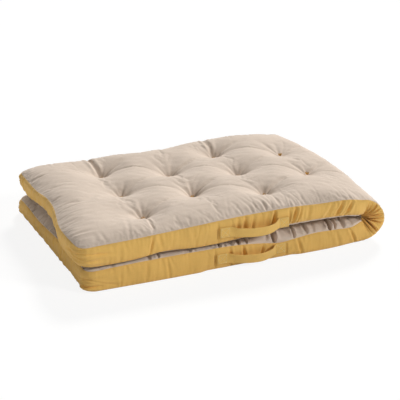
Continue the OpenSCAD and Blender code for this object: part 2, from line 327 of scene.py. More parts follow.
# (which seam, side): its stations along the cover, and its radii in mm
SIDE_SEAMS = {
    ("outer", -1): (
        stations([0, 200, 500, 780], [0, 45, 75, 95, 115, 138, 180],
                 [774, 679, 586, 525, 435, 318, 204, 121, 39, 0]),
        [66, 68.5, 68.5, 67.5, 66, 66, 67, 63, 58, 55, 57.5, 66.5, 70, 74.5, 74, 73, 68, 63, 60, 58, 56]),
    ("outer", 1): (
        stations([0, 300, 700], [0, 60, 90, 130, 180], [700, 560, 420, 300, 200, 90, 0]),
        [66, 68, 68, 66, 67, 65, 58, 60, 68, 66, 61, 62, 57, 60, 58]),
    ("inner", -1): (
        stations([0, 147, 318, 436, 500, 556, 612, 667, 721, 779], [0, 50, 130, 180],
                 [780, 744, 618, 557, 500, 436, 318, 204, 147, 37, 0]),
        [12, 8, 8, 11, 18, 26, 21, 16, 17, 19, 13, 5, 4, 9, 19, 22, 25, 24, 15, 9, 4, 10, 3, 1, 3]),
    ("inner", 1): (
        stations([0, 150, 400, 700], [0, 90, 180], [700, 420, 200, 80, 0]),
        [24, 17, 9, 12, 11, 10, 11, 13, 8, 9, 16, 22]),
}


def side_seam(which, side, t):
    """Radius of a side band's outer or inner seam."""
    return through(*SIDE_SEAMS[which, side], t) * MM


END_ACROSS = np.array([-300, -225, -150, -96, -27, 40, 117, 200, 300]) * MM
# half: the radii of its outer and inner seams, and how far each lies along X, at those places across the end
END_SEAMS = {
    -1: {"outer": [66, 68, 68, 68, 68, 68, 68, 68, 66], "inner": [12, 10, 10, 12, 17, 22, 25, 20, 24],
         "outer_x": [0, -2, -2, -3, -5, -6, -8, -10, -12], "inner_x": [-1, 0, 1, -2, -4, -6, -9, -12, -13]},
    1: {"outer": [56, 62, 64, 65, 68, 68, 64, 62, 58], "inner": [3, 8, 10, 17, 23, 27, 24, 13, 22],
        "outer_x": [-14, -25, -24, -14, -2, 0, -8, -9, -8], "inner_x": [-10, -20, -18, -8, -1, 2, -4, -6, -6]},
}


def from_side(y):
    """Distance across the cover to the nearer side seam."""
    return HALF_W - np.abs(y)


def from_end(t):
    """Distance along the cover to the nearer open end."""
    return np.minimum(t, COVER_L - t)


def end_seam(t, y, which):
    """A curve of the open end that is nearer to the station, across the mattress."""
    low, high = (through(END_ACROSS, np.array(END_SEAMS[half][which]) * MM, y) for half in (-1, 1))
    return np.where(t < COVER_L / 2, low, high)


CORNER_R = 26 * MM


def place(t, y, r, which):
    """A point of the cover at a station, a place across and a radius from the crease line.

    Straight before and after the bend, and on a circle round the crease line between them. Near an open end
    the point moves along X with that end's outer or inner seam, and plan corners are rounded by the map from
    a square to a quarter disc: u sqrt(1 - v^2 / 2), v sqrt(1 - u^2 / 2), over the corner's radius.
    """
    t, y, r = np.broadcast_arrays(t, y, r)
    a = np.clip((t - HALF_L) / FOLD_R, 0, math.pi)
    end = from_end(t)
    u = np.clip(1 - end / CORNER_R, 0, 1)
    v = np.clip(1 - from_side(y) / CORNER_R, 0, 1)
    du = u * (np.sqrt(1 - v * v / 2) - 1) * CORNER_R
    dv = v * (np.sqrt(1 - u * u / 2) - 1) * CORNER_R
    shift = end_seam(t, y, which + "_x") * (1 - ease(end, 0, 110 * MM)) - du
    x = OPEN_X + np.minimum(end, HALF_L) + r * np.sin(a) + shift
    return np.stack([x, y + np.sign(y) * dv, FOLD_R - r * np.cos(a)], -1)


def tucked(t, y):
    """Place across of a point of the inner cover: pulled in by up to a twelfth where it goes round the bend."""
    return y * (1 - ease(t, HALF_L - 50 * MM, bend_at(30)) * ease(bend_at(210) - t, 0, bend_at(60) - HALF_L) / 12)


def seam_level(t, y, which):
    """Radius of the flat surface between a panel's seams: front to back, and nearer an end, the end's own."""
    front, back = side_seam(which, -1, t), side_seam(which, 1, t)
    level = front + (back - front) * ease(y, -HALF_W, HALF_W)
    corner = ease(from_side(y), 0, 60 * MM)
    return level + (end_seam(t, y, which) - level) * (1 - ease(from_end(t), 0, 120 * MM)) * corner


# ---- The outer cover ----


def outer_radius(t, y, sizes):
    """The outer face without its wrinkles: from the seams' level up to the crown, less the tufts' dimples.

    The floor presses the lower half flat, the bend sags to its lower side, and the upper half swells freely.
    """
    level = seam_level(t, y, "outer")
    free = ease(t, bend_at(170), bend_at(180) + 120 * MM)
    arch = through([0, bend_at(0), bend_at(40), bend_at(90), bend_at(138), bend_at(180)], [0, 0, 6, 13, 20, 16], t)
    bend = np.maximum(level, 70 * MM * (1 - ease(t, bend_at(0), bend_at(40)))) + 2 * MM
    bend += arch * MM * (1 - np.abs(y / HALF_W) ** 1.7)
    lift = through([0, 0.2, 0.42, 0.6, 0.76, 0.9], [0.92, 1.0, 0.88, 1.0, 1.04, 1.04], COVER_L - t)
    lumps = 1 + 0.10 * crumple(t, y, 0.17, 0.17, 3)
    top = level + sizes.crown * lift * lumps
    target = bend + (top - bend) * free
    width = (30 + 44 * free) * MM
    edges = rise(from_end(t), width) * rise(from_side(y), width)
    distance = nearest_tuft(t, y)[0]
    shallow = 0.35 * bell((t - upper_at(752)) / (70 * MM))
    depth = (15 * MM + (sizes.dimple - 15 * MM) * free) * (1 - shallow)
    bowl = bell(distance / ((26 + 20 * free) * MM), 1.6)
    well = bell((np.hypot(distance, 8 * MM) - 8 * MM) / (16 * MM), 1.2)
    dimple = depth * (0.55 * bowl + 0.45 * well) * edges
    valley = 3.1 * MM * (0.1 + 0.9 * free) * valleys(t, y) * (1 - bell(distance / (14 * MM)))
    return level + (target - level) * edges - dimple - valley * edges - pinches(t, y)


def spaced(length, step, fine):
    """Stations from 0 to length, a step apart, closing up over the first and last few to the fine step."""
    lead = np.cumsum(np.linspace(fine, step, 6))
    count = 2 * round((length - 2 * lead[-1]) / step / 2)
    middle = np.linspace(lead[-1], length - lead[-1], count + 1)
    return np.concatenate([[0], lead[:-1], middle, length - lead[:-1][::-1], [length]])


def halved(grid, axis):
    """Twice as many rows, each new one a cubic midpoint: (9 (b + c) - (a + d)) / 16."""
    g = np.moveaxis(grid, axis, 0)
    padded = np.concatenate([2 * g[:1] - g[1:2], g, 2 * g[-1:] - g[-2:-1]])
    mids = (9 * (padded[1:-2] + padded[2:-1]) - (padded[:-3] + padded[3:])) / 16
    out = np.empty((2 * len(g) - 1,) + g.shape[1:])
    out[::2], out[1::2] = g, mids
    return np.moveaxis(out, 0, axis)


def grid_faces(rows, cols):
    """The four corners of each cell of a grid, in turn."""
    i = np.arange(rows * cols).reshape(rows, cols)
    return np.stack([i[:-1, :-1], i[1:, :-1], i[1:, 1:], i[:-1, 1:]], -1).reshape(-1, 4)


def facing(points):
    """Unit normals of a grid, from the cross product of its two directions."""
    n = np.cross(np.gradient(points, axis=0), np.gradient(points, axis=1))
    return n / np.maximum(np.linalg.norm(n, axis=-1, keepdims=True), 1e-12)


def hang(name, mesh):
    """An object of a mesh, in the scene."""
    made = bpy.data.objects.new(name, mesh)
    bpy.context.scene.collection.objects.link(made)
    return made


def finished(name, mesh, uv, kind):
    """A smooth piece of a mesh, with its UV map in metres, its kind of cloth and that cloth's slot."""
    mesh.polygons.foreach_set("use_smooth", np.ones(len(mesh.polygons), bool))
    mesh.uv_layers.new(name="cloth").data.foreach_set("uv", uv.astype(np.float32).ravel())
    mesh.materials.append(cloth(kind))
    piece = hang(name, mesh)
    return piece


def lay(name, points, uv, normals, kind, flip):
    """Lays a cloth on a grid of points, with the whole cloth's normals, so that no seam shows where it is cut."""
    rows, cols = points.shape[:2]
    faces = grid_faces(rows, cols)
    if flip:
        faces = faces[:, ::-1]
        normals = -normals
    mesh = bpy.data.meshes.new(name)
    mesh.vertices.add(rows * cols)
    mesh.vertices.foreach_set("co", points.astype(np.float32).ravel())
    mesh.loops.add(faces.size)
    mesh.loops.foreach_set("vertex_index", faces.astype(np.int32).ravel())
    mesh.polygons.add(len(faces))
    mesh.polygons.foreach_set("loop_start", np.arange(0, faces.size, 4, dtype=np.int32))
    mesh.update(calc_edges=True)
    piece = finished(name, mesh, uv.reshape(-1, 2)[faces.ravel()], kind)
    mesh.normals_split_custom_set_from_vertices(normals.reshape(-1, 3).tolist())
    return piece


def inflate(points, held, slack, pressure, cap):
    """Cloth simulation of a grid: pushed outwards by the batting, held at the seams and tufts, no gravity.

    The cloth is a little longer than the pad, so it buckles into real folds. No point may move past the cap.
    """
    mesh = bpy.data.meshes.new("inflating")
    # Turned over, because the grid's own faces look inwards
    mesh.from_pydata(points.reshape(-1, 3).tolist(), [], grid_faces(*points.shape[:2])[:, ::-1].tolist())
    cover = hang("inflating", mesh)
    pins = cover.vertex_groups.new(name="held")
    pins.add(np.flatnonzero(held.ravel()).tolist(), 1.0, "REPLACE")
    sim = cover.modifiers.new("cloth", "CLOTH")
    for key, value in {
        "vertex_group_mass": "held", "pin_stiffness": 1, "mass": 0.15, "air_damping": 2, "quality": 6,
        "tension_stiffness": 25, "compression_stiffness": 25, "shear_stiffness": 8, "bending_stiffness": 0.35,
        "use_pressure": True, "uniform_pressure_force": pressure, "shrink_min": -slack,
    }.items():
        setattr(sim.settings, key, value)
    sim.settings.effector_weights.gravity = 0
    sim.collision_settings.use_collision = False
    scene = bpy.context.scene
    for number in range(1, 21):
        scene.frame_set(number)
    done = cover.evaluated_get(bpy.context.evaluated_depsgraph_get()).to_mesh()
    flat = np.empty(points.size, np.float32)
    done.vertices.foreach_get("co", flat)
    scene.frame_set(1)
    bpy.data.objects.remove(cover)
    moved = flat.reshape(points.shape).astype(float) - points
    size = np.linalg.norm(moved, axis=-1, keepdims=True)
    return points + moved * np.minimum(1, cap / np.maximum(size, 1e-9))


ACROSS = spaced(2 * HALF_W, 5 * MM, 1.4 * MM) - HALF_W
FINE_ACROSS = halved(ACROSS, 0)
STRAIGHT = spaced(HALF_L + 30 * MM, 5 * MM, 1.4 * MM)
STRAIGHT = STRAIGHT[STRAIGHT < HALF_L - 2.5 * MM]
BEND_STEPS = 6
# Stations of the outer cover: fine at the open ends, then even, with whole steps in each hinge's strip
COARSE = np.concatenate(
    [STRAIGHT, HALF_L + np.linspace(0, BEND_L, BEND_STEPS * len(HINGES) + 1), COVER_L - STRAIGHT[::-1]])
FINE = halved(COARSE, 0)
FIRST_ROW = 2 * len(STRAIGHT)


def crowded(steps):
    """Stations with so many steps in each hinge's strip, closer together towards its line, as c |c| from -1 to 1."""
    c = np.linspace(-1, 1, steps + 1)[:-1]
    bend = [HALF_L + FOLD_R * STRIP * (k + 0.5 + 0.5 * np.sign(c) * c**2) for k in range(len(HINGES))]
    return np.concatenate([FINE[:FIRST_ROW], *bend, [HALF_L + BEND_L], FINE[-FIRST_ROW:]])


def fine_relief(t, y, sizes):
    """Small relief of the outer cover: pleats at the seams, stars round the tufts, creases and lumps."""
    free = ease(t, bend_at(150), bend_at(180) + 60 * MM)
    side = from_side(y)
    end = from_end(t)
    gather = sizes.gather
    top = (upper_at(800), upper_at(20))
    bottom = (20 * MM, bend_at(180))
    relief = gather * 0.35 * np.exp(-side / (9 * MM)) * pleats(t, 11 * MM, 11)
    relief += gather * 0.5 * np.exp(-end / (11 * MM)) * pleats(y, 9 * MM, 12)
    for inward, seed in ((HALF_W + y, 101), (HALF_W - y, 111)):
        relief += tucks(t, inward, top, 26, seed, (2.0, 4.5), (25, 90), 1.6)
        relief += tucks(t, inward, bottom, 30, seed + 1, (2.0, 4.5), (20, 60), 1.4)
    relief += tucks(t, HALF_W + y, (upper_at(690), upper_at(430)), 16, 121, (2.0, 3.5), (40, 110), 2.0)
    relief += tucks(y, end, (-0.28, 0.28), 34, 122, (2.0, 4.5), (20, 80), 1.6)
    relief = relief * ease(np.minimum(side, end), 0, 2.5 * MM)
    relief += 2.4 * MM * tuft_folds(t, y) * (0.4 + 0.6 * free)
    long_lines = crinkle(t, y, 0.42, 0.06, 21, 0.13) * np.clip(crumple(t, y, 0.2, 0.15, 22), 0, 1)
    relief += 0.55 * MM * long_lines * ease(side, 10 * MM, 40 * MM)
    relief += 0.3 * MM * crumple(t, y, 0.045, 0.03, 23)
    return relief


def outer_cover(sizes):
    """The whole outer cloth: the smooth face, its simulated top, then the small relief at twice the grid."""
    t, y = np.meshgrid(COARSE, ACROSS, indexing="ij")
    points = place(t, y, outer_radius(t, y, sizes), "outer")
    # The top starts at the apex of the bend, and is held along its edges and round its tufts.
    first = len(STRAIGHT) + BEND_STEPS * len(HINGES) // 2
    top = points[first:]
    held = np.zeros(top.shape[:2], bool)
    held[[0, -1]] = True
    held[:, [0, -1]] = True
    for s, across in TUFTS:
        if s > COARSE[first]:
            held |= np.hypot(t[first:] - s, y[first:] - across) < 4 * MM
    points[first:] = inflate(top, held, sizes.slack, sizes.pressure, 10 * MM)
    points = halved(halved(points, 0), 1)
    t, y = np.meshgrid(FINE, FINE_ACROSS, indexing="ij")
    exact = place(t, y, outer_radius(t, y, sizes), "outer")
    for edge in (np.s_[0], np.s_[-1], np.s_[:, 0], np.s_[:, -1]):
        points[edge] = exact[edge]
    inner = np.minimum(from_end(t), from_side(y)) > 0
    points = points - facing(points) * (fine_relief(t, y, sizes) * inner)[..., None]
    points[..., 2] = np.maximum(points[..., 2], 0.3 * MM)
    return points


def bend_piece(piece):
    """Bakes a strip's transform into its mesh."""
    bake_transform(piece)


def cut_and_hang(what, points, steps, kind, flip):
    """Cuts a whole cloth at the bend: its halves ride on their bodies, and the strips round the bend ride on none.

    A strip has so many steps of the grid. Returns them by name: the lower half's,
    those round the bend, and the upper half's.
    """
    uv, normals = metres(points), facing(points)
    cuts = [0, *(FIRST_ROW + steps * k for k in range(len(HINGES) + 1)), len(points) - 1]
    names = [f"lower_{what}"] + [f"bend_{what}_{k + 1}" for k in range(len(HINGES))] + [f"upper_{what}"]
    pieces = {}
    for k, name in enumerate(names):
        rows = slice(cuts[k], cuts[k + 1] + 1)
        piece = lay(name, points[rows], uv[rows], normals[rows], kind, flip)
        if 0 < k < len(names) - 1:
            bend_piece(piece)
        else:
            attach(piece, "lower_half" if k == 0 else "upper_half")
        pieces[name] = piece
    return pieces


def stand_in(half_nodes, link_nodes):
    """A cloth's pieces stand for the CAD nodes of these kinds on each half and on each link of the bend."""
    for half in ("lower", "upper"):
        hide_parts(*[f"{half}_{node}" for node in half_nodes])
    for k in range(1, len(HINGES)):
        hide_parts(*[f"fold_{k}_{node}" for node in link_nodes])


def metres(points):
    """UV map of a grid in metres: the length of its rows and columns up to each point."""
    u = np.zeros(points.shape[:2])
    v = np.zeros(points.shape[:2])
    u[1:] = np.cumsum(np.linalg.norm(np.diff(points, axis=0), axis=-1), 0)
    v[:, 1:] = np.cumsum(np.linalg.norm(np.diff(points, axis=1), axis=-1), 1)
    middle = points.shape[1] // 2
    return np.stack([np.repeat(u[:, middle : middle + 1], points.shape[1], 1), v], -1)


# ---- Materials ----


def blank(owner):
    """The emptied node tree of a material or world."""
    owner.use_nodes = True
    owner.node_tree.nodes.clear()
    return owner.node_tree


def add(tree, kind, settings=None, links=None):
    """Adds a node, sets its properties or sockets, and links outputs, or nodes' first outputs, to it."""
    node = tree.nodes.new("ShaderNode" + kind)
    for key, value in (settings or {}).items():
        if isinstance(key, str) and hasattr(node, key):
            setattr(node, key, value)
        else:
            node.inputs[key].default_value = value
    for key, source in (links or {}).items():
        tree.links.new(source.outputs[0] if isinstance(source, bpy.types.Node) else source, node.inputs[key])
    return node


def woven_cotton(name, colour, thread, weave_depth, sheen, mottle):
    """Plain-woven cotton: over-and-under threads, slubs along them, soft creases, and a dry, matte face.

    thread is the spacing of the threads in metres and weave_depth their height.
    """
    material = bpy.data.materials.new(name)
    tree = blank(material)
    uv = add(tree, "UVMap", {"uv_map": "cloth"})
    place3d = add(tree, "TexCoord").outputs["Object"]
    threads, slubs = [], []
    for axis, along in (("X", (50, 500, 1)), ("Y", (500, 50, 1))):
        # The waves repeat each 2 pi / 20 of their coordinate, so the scale turns that into the thread spacing.
        wave = add(tree, "TexWave", {"bands_direction": axis, "Scale": math.tau / 20 / thread, "Distortion": 0.6,
                                     "Detail": 1.0, "Detail Scale": 0.4}, {"Vector": uv})
        threads.append(wave.outputs["Fac"])
        # Slubs: thick places in the yarn, some 2 mm wide and 20 mm long, in both directions
        long = add(tree, "Mapping", {"Scale": along}, {"Vector": uv})
        slubs.append(add(tree, "TexNoise", {"Scale": 1.0, "Detail": 2.0}, {"Vector": long}))
    weave = add(tree, "Math", {"operation": "MULTIPLY"}, dict(enumerate(threads)))
    slub = add(tree, "Math", {"operation": "ADD"}, dict(enumerate(slubs)))
    # Broad patches where the dye took a little more or less, some 80 mm wide
    patches = add(tree, "TexNoise", {"Scale": 12.0, "Detail": 3.0}, {"Vector": place3d})
    yarn = add(tree, "Math", {"operation": "MULTIPLY_ADD", 1: 0.5, 2: -0.5}, {0: slub})
    tone = add(tree, "Math", {"operation": "ADD"}, {0: patches, 1: yarn})
    ramp = add(tree, "ValToRGB", {}, {"Fac": tone})
    for stop, at, shade in zip(ramp.color_ramp.elements, (0.25, 0.75), (1 - mottle, 1 + mottle * 0.6)):
        stop.position = at
        stop.color = (*[min(1.0, c * shade) for c in colour], 1)
    # Small soft creases, some 14 mm apart, that stay in cotton after it is handled
    creases = add(tree, "TexNoise", {"Scale": 70.0, "Detail": 4.0, "Roughness": 0.55, "Distortion": 0.8},
                  {"Vector": place3d})
    under = {}
    for height, strength, depth in ((creases, 0.5, 1.1 * MM), (slub, 0.35, 0.15 * MM), (weave, 0.5, weave_depth)):
        under = {"Normal": add(tree, "Bump", {"Strength": strength, "Distance": depth}, {"Height": height, **under})}
    face = add(tree, "BsdfPrincipled", {"Roughness": 0.92, "IOR": 1.5, "Specular IOR Level": 0.25,
                                        "Sheen Weight": sheen, "Sheen Roughness": 0.55},
               {"Base Color": ramp, **under})
    add(tree, "OutputMaterial", {}, {"Surface": face})
    return material


def cloth(kind):
    """The material of a kind of cloth, made once."""
    c = bpy.context.scene.futon_colours
    recipes = {
        # Undyed cotton: a matte, warm grey face with the faint grain of its threads
        "undyed_plain_cotton": (c.panel, 1.1 * MM, 0.06 * MM, 0.12, 0.05),
        # Dyed cotton: the same weave, a little smoother, with more sheen on its folds
        "mustard_plain_cotton": (c.band, 0.9 * MM, 0.05 * MM, 0.18, 0.06),
        # Flat cotton webbing: thick ribbed yarns that catch the light in rows
        "mustard_cotton_webbing": (c.strap, 1.8 * MM, 0.22 * MM, 0.15, 0.07),
        # Twisted cotton yarn of the tufts
        "tuft_yarn": (c.tuft, 0.6 * MM, 0.1 * MM, 0.1, 0.05),
        # Waxed polyester thread of the box stitches: lighter, with a soft shine
        "stitching_thread": (c.stitch, 0.5 * MM, 0.08 * MM, 0.1, 0.04),
    }
    return bpy.data.materials.get(kind) or woven_cotton(kind, *recipes[kind])


# ---- The boxing bands ----


def band_profile(v):
    """Swell of a band over its height: steep out of each seam and flat between, (1 - |2v - 1|^3)^0.7."""
    return np.clip(1 - np.abs(2 * v - 1) ** 3, 0, 1) ** 0.7


BAND_HEIGHT = spaced(1.0, 0.045, 0.015)

# Deep single folds of the front band: place from the half's open end, width and depth, and lean, all in mm
UPPER_FOLDS = (
    (178, 4, 4.0, 10), (205, 5, 2.8, -8), (425, 5, 3.0, 6), (446, 6, 6.0, 10), (470, 5, 3.5, 12),
    (534, 6, 10.0, 14), (598, 6, 9.0, 12), (612, 4, 5.0, 16), (640, 6, 3.0, 8), (706, 7, 4.0, 22),
    (738, 6, 8.0, 26), (768, 5, 7.0, 26), (300, 7, 1.6, -8), (92, 6, 1.4, 6))
LOWER_FOLDS = (
    (163, 6, 2.6, 6), (224, 5, 2.4, -6), (406, 5, 4.5, -8), (447, 5, 6.0, -8), (499, 5, 6.0, 14),
    (553, 5, 8.5, 10), (616, 5, 5.0, -10), (736, 7, 2.8, -14), (338, 6, 1.6, 6), (785, 5, 5.0, -20),
    (90, 6, 1.4, -6))


def front_folds(t, v):
    """Deep single folds of the front band, deepest at its middle."""
    folds = [(upper_at(at), *size) for at, *size in UPPER_FOLDS] + [(at * MM, *size) for at, *size in LOWER_FOLDS]
    wane = 0.35 + 0.65 * bell((v - 0.5) / 0.42)
    return wane * sum(depth * MM * fold(t, at + lean * MM * (v - 0.5), width * MM)
                      for at, width, depth, lean in folds)


def bend_folds(t, v, side):
    """Folds of a side band that fan out from the bend's inner corner, with small ones between them."""
    angle = (t - HALF_L) / FOLD_R
    relief = 1.6 * MM * pleats(angle, 0.17, 47 + side) * v
    for degrees, width, depth, turn in (
        (28, 0.06, 5, 0.1), (46, 0.09, 26, -0.12), (68, 0.07, 16, 0.05), (82, 0.06, 17, 0.12),
        (98, 0.08, 22, -0.05), (115, 0.06, 16, 0.1), (131, 0.08, 20, 0.2), (148, 0.05, 8, 0.25), (163, 0.05, 4, 0.3),
    ):
        at = math.radians(degrees - 4 * (side > 0)) - turn * (v - 0.6)
        relief += depth * MM * fold(angle, at, width * (0.7 + 0.6 * v))
    return relief * np.sin(math.pi * np.clip(v, 0, 1)) ** 0.5 * (0.35 + 0.65 * v)


def corner_folds(t, v, inward, side):
    """Folds that run from an open end's corner along the two bands that meet there, other ones on each half."""
    depth = 5 if side < 0 else 3
    low, high = (tucks(v * BAND_H, inward / 2, (6 * MM, 50 * MM), 9, seed, (2.2, 3.8), (12, 36), depth)
                 for seed in (140, 141))
    return np.where(t < APEX, low, high)


def band_relief(t, v, side, sizes):
    """Relief of a side band: single folds, gathers that fan from both seams, and rays round the bend."""
    seed = 40 if side < 0 else 60
    on_bend = ease(t, bend_at(-8), bend_at(12)) * ease(bend_at(188) - t, 0, bend_at(20) - bend_at(0))
    straight = 1 - on_bend
    outer = np.exp(-v / 0.28)
    inner = np.exp(-(1 - v) / 0.28)
    edge = ease(v, 0, 0.05) * ease(1 - v, 0, 0.05)
    relief = sizes.gather * 0.3 * (outer * pleats(t, 13 * MM, seed) + inner * pleats(t, 14 * MM, seed + 1))
    down, up = v * BAND_H, (1 - v) * BAND_H
    for span, n in (((20 * MM, 0.81), 0), ((upper_at(810), upper_at(20)), 1)):
        relief += tucks(t, down, span, 26, seed + 8 + n, (2.5, 5.5), (14, 45), 1.9)
        relief += tucks(t, up, span, 26, seed + 10 + n, (2.5, 5.5), (14, 45), 1.9)
    relief = relief * edge
    relief += 0.9 * MM * crumple(t, v, 0.05, 1.6, seed + 2) * edge * straight
    relief += 1.5 * MM * bell(from_end(t) / (42 * MM)) * crinkle(t, v, 0.16, 0.33, seed + 6, 0.3) * edge
    relief += corner_folds(t, v, from_end(t), side) * edge
    if side < 0:
        relief += front_folds(t, v) * straight * edge
    else:
        relief += 1.8 * MM * crumple(t, v, 0.06, 1.5, seed + 4) * straight * edge
    return relief + bend_folds(t, v, side) * on_bend


def outward(t, side):
    """Direction out of a side band: across the mattress, turning towards -X round the open end's corner."""
    u = np.clip(1 - from_end(t) / CORNER_R, 0, 1)
    x = -u * math.sqrt(0.5)
    y = side * np.sqrt(1 - u * u / 2)
    return np.stack([x, y, np.zeros_like(x)], -1)


def side_bulge(t, v, sizes):
    """Swell of a side band in metres, a little more round the outside of the bend."""
    on_bend = ease(t, bend_at(-5), bend_at(25)) * ease(bend_at(185) - t, 0, FOLD_R * 0.5)
    return sizes.swell * band_profile(v) * (1 + 0.25 * on_bend * (1 - v))


def from_strap(t):
    """Distance along a half from the middle of its strap."""
    return np.abs(from_end(t) - (STRAP_X - OPEN_X) - np.where(t > APEX, UPPER_STRAP_SHIFT, 0))


def lean_out(t, v, side):
    """The bottom of the lower band leans outwards, in metres: on the front, not where the strap holds it."""
    lower = 1 - ease(t, HALF_L - 120 * MM, HALF_L)
    if side < 0:
        lower = 2 * lower * ease(from_strap(t), 0.6 * STRAP_LENGTH, 0.75 * STRAP_LENGTH)
    return 3 * MM * (1 - v) ** 1.2 * lower


def side_band(side, sizes):
    """A whole side band, from its outer seam to its inner seam, along the lower half, bend and upper half."""
    t, v = np.meshgrid(crowded(24), BAND_HEIGHT, indexing="ij")
    outer, inner = side_seam("outer", side, t), side_seam("inner", side, t)
    radius = outer + (inner - outer) * v
    seam_out = place(t, np.full_like(t, side * HALF_W), radius, "outer")
    seam_in = place(t, tucked(t, np.full_like(t, side * HALF_W)), radius, "inner")
    base = seam_out + (seam_in - seam_out) * v[..., None]
    relief = band_relief(t, v, side, sizes)
    if side < 0:
        # Flat under a strap's sewn ends, and drawn in where their stitching stops.
        away = from_strap(t)
        sewn = ease(away, STRAP_GRIP - 9 * MM, STRAP_GRIP) * ease(STRAP_LENGTH / 2 + 14 * MM - away, 0, 9 * MM)
        draw = bell((away - STRAP_LENGTH / 2 - 4 * MM) / (3.5 * MM))
        relief = relief * (1 - sewn) - 4 * MM * draw * band_profile(v)
    push = side_bulge(t, v, sizes) + relief + lean_out(t, v, side)
    return base + outward(t, side) * push[..., None]


def end_relief(y, v, half, sizes):
    """Relief of an end band: gathers from both seams, and the corner folds that run along it."""
    seed = 80 if half < 0 else 90
    edge = ease(v, 0, 0.05) * ease(1 - v, 0, 0.05)
    relief = sizes.gather * 0.5 * np.exp(-v / 0.3) * pleats(y, 11 * MM, seed)
    relief += sizes.gather * 0.5 * np.exp(-(1 - v) / 0.3) * pleats(y, 12 * MM, seed + 1)
    relief += 1.0 * MM * crumple(y, v, 0.05, 1.5, seed + 2)
    relief += tucks(y, v * BAND_H, (-0.27, 0.27), 20, seed + 3, (2.5, 5), (16, 45), 2.4)
    relief += tucks(y, (1 - v) * BAND_H, (-0.27, 0.27), 20, seed + 4, (2.5, 5), (16, 45), 2.4)
    for at, width, depth in ((-95, 10, 3.0), (25, 9, 1.6), (130, 10, 1.8), (-190, 9, 1.2), (215, 9, 1.4)):
        relief += depth * MM * fold(y, (at + 12 * half) * MM, width * MM)
    t = np.full_like(y, 0.0 if half < 0 else COVER_L)
    inward = from_side(y)
    relief += np.where(y < 0, corner_folds(t, v, inward, -1), corner_folds(t, v, inward, 1))
    return relief * edge * ease(inward, 0, 12 * MM)


def end_band(half, sizes):
    """An end band across the open end of a half, between the end's two seams."""
    y, v = np.meshgrid(FINE_ACROSS, BAND_HEIGHT, indexing="ij")
    aside = from_side(y)
    t = np.full_like(y, 0.0 if half < 0 else COVER_L)
    outer, inner = seam_level(t, y, "outer"), seam_level(t, y, "inner")
    radius = outer + (inner - outer) * v
    base = place(t, y, radius, "outer") * (1 - v[..., None]) + place(t, y, radius, "inner") * v[..., None]
    u = np.clip(1 - aside / CORNER_R, 0, 1)
    direction = np.stack([-np.sqrt(1 - u * u / 2), np.sign(y) * u * math.sqrt(0.5), np.zeros_like(u)], -1)
    # At a corner the push is the side band's own, so that the two bands meet.
    lean, meet = (np.where(y < 0, *sides) for sides in (
        [lean_out(t, v, side) for side in (-1, 1)], [band_relief(t, v, side, sizes) for side in (-1, 1)]))
    push = sizes.swell * band_profile(v) + end_relief(y, v, half, sizes)
    push += lean * (1 - ease(aside, 0, 60 * MM)) + meet * (1 - ease(aside, 0, 14 * MM))
    return base + direction * push[..., None]


# ---- The inner cover ----


def opening_folds(t, y):
    """Deep folds of the lower half that run in from its front seam, where the opening shows them."""
    total = 0
    for at, width, depth in (
        (0.376, 5, 7), (0.433, 5, 7), (0.457, 4, 5), (0.541, 7, 20), (0.603, 4, 9), (0.641, 6, 6),
        (0.715, 6, 19), (0.731, 4, 12), (0.757, 7, 8), (0.2, 4, 4), (0.29, 5, 4),
    ):
        total -= depth * MM * fold(t - 0.15 * (y + HALF_W), at, width * MM)
    return total * bell((y + HALF_W) / (60 * MM))


def inner_radius(t, y, sizes):
    """The inner face, from its seams' level down to the other half's face over most of its area."""
    level, end, side = seam_level(t, y, "inner"), from_end(t), from_side(y)
    inward = np.minimum(side, end)
    on_bend = ease(t, HALF_L - 60 * MM, HALF_L) * ease(HALF_L + BEND_L + 60 * MM - t, 0, 60 * MM)
    width = 62 * MM
    edges = rise(end, width) * rise(side, width)
    distance = nearest_tuft(t, y)[0]
    dimple = 9 * MM * bell(distance / (24 * MM), 1.3) * edges
    resting = 0.4 * MM
    flat = level + (resting - level) * edges + dimple
    flat += (1.4 * MM * valleys(t, y) + 0.5 * MM * (1 + crumple(t, y, 0.05, 0.04, 31))) * edges
    bend = 10 * MM + 0.6 * MM * crumple(t, y, 0.02, 0.05, 33)
    gathers = sizes.gather * 0.7 * np.exp(-end / (26 * MM)) * pleats(y, 11 * MM, 36)
    for span, n in (((0.04, 0.82), 0), ((upper_at(820), upper_at(40)), 1)):
        for from_seam, depth in ((HALF_W + y, 5), (HALF_W - y, 8)):
            gathers -= tucks(t, from_seam, span, 26, 130 + n, (4, 9), (40, 110), depth)
    gathers -= tucks(y, end, (-0.29, 0.29), 44, 137, (2.5, 4.5), (25, 90), 6)
    gathers += 3.5 * MM * np.exp(-end / (60 * MM)) * (1 + pleats(y, 16 * MM, 138))
    gathers = np.maximum(gathers, 0) + opening_folds(t, y)
    # Behind the upper half's seam the cloth first turns up into the pad.
    near = inward / (15 * MM)
    gathers += 12 * MM * near * np.exp(1 - near) * ease(t, bend_at(150), bend_at(180) + 60 * MM)
    seam = ease(inward, 0, 3 * MM)
    flat += gathers * seam
    radius = flat + (np.where(side > MM, bend, level) - flat) * on_bend
    return np.where(seam > 0.5, np.maximum(radius, 0.25 * MM), radius)


def inner_cover(sizes):
    """The whole inner cloth, along the lower half, round the crease and back along the upper half."""
    t, y = np.meshgrid(crowded(12), FINE_ACROSS, indexing="ij")
    return place(t, tucked(t, y), inner_radius(t, y, sizes), "inner")


# ---- Tufts and straps ----


